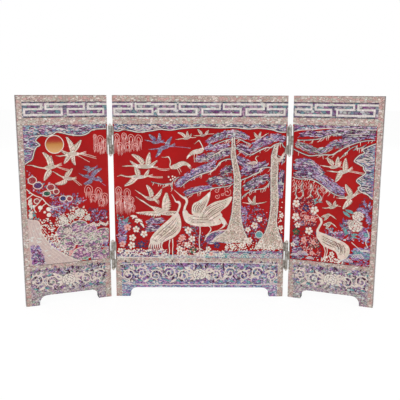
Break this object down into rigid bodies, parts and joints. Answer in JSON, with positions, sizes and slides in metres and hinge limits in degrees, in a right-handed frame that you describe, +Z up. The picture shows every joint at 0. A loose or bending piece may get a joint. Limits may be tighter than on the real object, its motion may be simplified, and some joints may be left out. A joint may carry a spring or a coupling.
{
  "type": "tabletop folding screen",
  "caption": "Small lacquered folding screen with shell inlay, a raised fret along its head, bracket feet and butt hinges that let the wings close over the centre panel.",
  "frame": {"origin": "middle of the bounding box on the plane that the feet stand on", "axes": "+X across the screen to the viewer's right, +Y to the back of the centre panel, +Z up; the fronts face -Y and the wings swing forward towards -Y"},
  "size_m": [0.3552, 0.043, 0.21],
  "materials": {
    "lacquered_board": "black lacquer, glossy",
    "inlaid_lacquer": "polished red lacquer set with mother-of-pearl pictures",
    "shell_mosaic": "crackled mother-of-pearl mosaic under clear lacquer",
    "abalone_ground": "dark purple-green abalone under clear lacquer",
    "pale_shell_fret": "pale mother-of-pearl strip, glossy",
    "hinge_leaf_metal": "nickel-washed brass, slightly tarnished",
    "hinge_pin_metal": "nickel-washed brass, polished finials",
    "screw_metal": "satin"
  },
  "bodies": {
    "centre_panel": {"centre_apron": "inlaid_lacquer", "centre_core_board": "lacquered_board", "centre_fret_ground": "abalone_ground", "centre_fret_key": "pale_shell_fret", "centre_hinge_screws": "screw_metal", "centre_left_foot_border": "shell_mosaic", "centre_lower_border": "shell_mosaic", "centre_picture_field": "inlaid_lacquer", "centre_rail_border": "shell_mosaic", "centre_right_foot_border": "shell_mosaic", "centre_top_border": "shell_mosaic", "centre_top_edge_band": "shell_mosaic", "left_lower_hinge_centre_leaf": "hinge_leaf_metal", "left_lower_hinge_pin": "hinge_pin_metal", "left_upper_hinge_centre_leaf": "hinge_leaf_metal", "left_upper_hinge_pin": "hinge_pin_metal", "right_lower_hinge_centre_leaf": "hinge_leaf_metal", "right_lower_hinge_pin": "hinge_pin_metal", "right_upper_hinge_centre_leaf": "hinge_leaf_metal", "right_upper_hinge_pin": "hinge_pin_metal"},
    "left_wing": {"left_lower_hinge_wing_leaf": "hinge_leaf_metal", "left_upper_hinge_wing_leaf": "hinge_leaf_metal", "left_wing_apron": "inlaid_lacquer", "left_wing_core_board": "lacquered_board", "left_wing_foot_border": "shell_mosaic", "left_wing_fret_ground": "abalone_ground", "left_wing_fret_key": "pale_shell_fret", "left_wing_hinge_screws": "screw_metal", "left_wing_lower_border": "shell_mosaic", "left_wing_outer_edge_band": "shell_mosaic", "left_wing_picture_field": "inlaid_lacquer", "left_wing_rail_border": "shell_mosaic", "left_wing_stile_border": "shell_mosaic", "left_wing_top_border": "shell_mosaic", "left_wing_top_edge_band": "shell_mosaic"},
    "right_wing": {"right_lower_hinge_wing_leaf": "hinge_leaf_metal", "right_upper_hinge_wing_leaf": "hinge_leaf_metal", "right_wing_apron": "inlaid_lacquer", "right_wing_core_board": "lacquered_board", "right_wing_foot_border": "shell_mosaic", "right_wing_fret_ground": "abalone_ground", "right_wing_fret_key": "pale_shell_fret", "right_wing_hinge_screws": "screw_metal", "right_wing_lower_border": "shell_mosaic", "right_wing_outer_edge_band": "shell_mosaic", "right_wing_picture_field": "inlaid_lacquer", "right_wing_rail_border": "shell_mosaic", "right_wing_stile_border": "shell_mosaic", "right_wing_top_border": "shell_mosaic", "right_wing_top_edge_band": "shell_mosaic"}
  },
  "joints": [
    {"name": "left_wing_fold", "type": "hinge", "parent": "centre_panel", "child": "left_wing", "pos_m": [-0.0905, 0.01047, 0.105], "axis": [0, 0, 1], "range_deg": [-43.6, 158.4]},
    {"name": "right_wing_fold", "type": "hinge", "parent": "centre_panel", "child": "right_wing", "pos_m": [0.0905, 0.01047, 0.105], "axis": [0, 0, -1], "range_deg": [-43.6, 158.4]}
  ]
}
